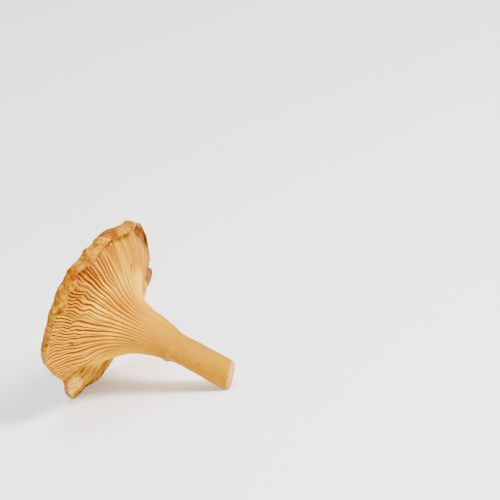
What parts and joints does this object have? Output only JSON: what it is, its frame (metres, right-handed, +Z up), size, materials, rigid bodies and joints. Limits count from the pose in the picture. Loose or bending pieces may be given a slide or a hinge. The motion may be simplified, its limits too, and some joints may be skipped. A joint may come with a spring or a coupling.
{
  "type": "chanterelle mushroom",
  "caption": "Single golden chanterelle lying on its side: a shallow funnel cap with a wavy turned-down rim and forking gills that run down a smooth tapering stem.",
  "frame": {"origin": "under the middle of the part's outline seen from above, on the surface that it lies on", "axes": "+Z up from the surface; +X along the part's longest side, from the cap towards the stem end; -Y towards the picture's camera"},
  "size_m": [0.0602, 0.0544, 0.0561],
  "materials": {
    "flesh": "satin"
  },
  "bodies": {
    "root": {"chanterelle": "flesh"}
  },
  "joints": []
}
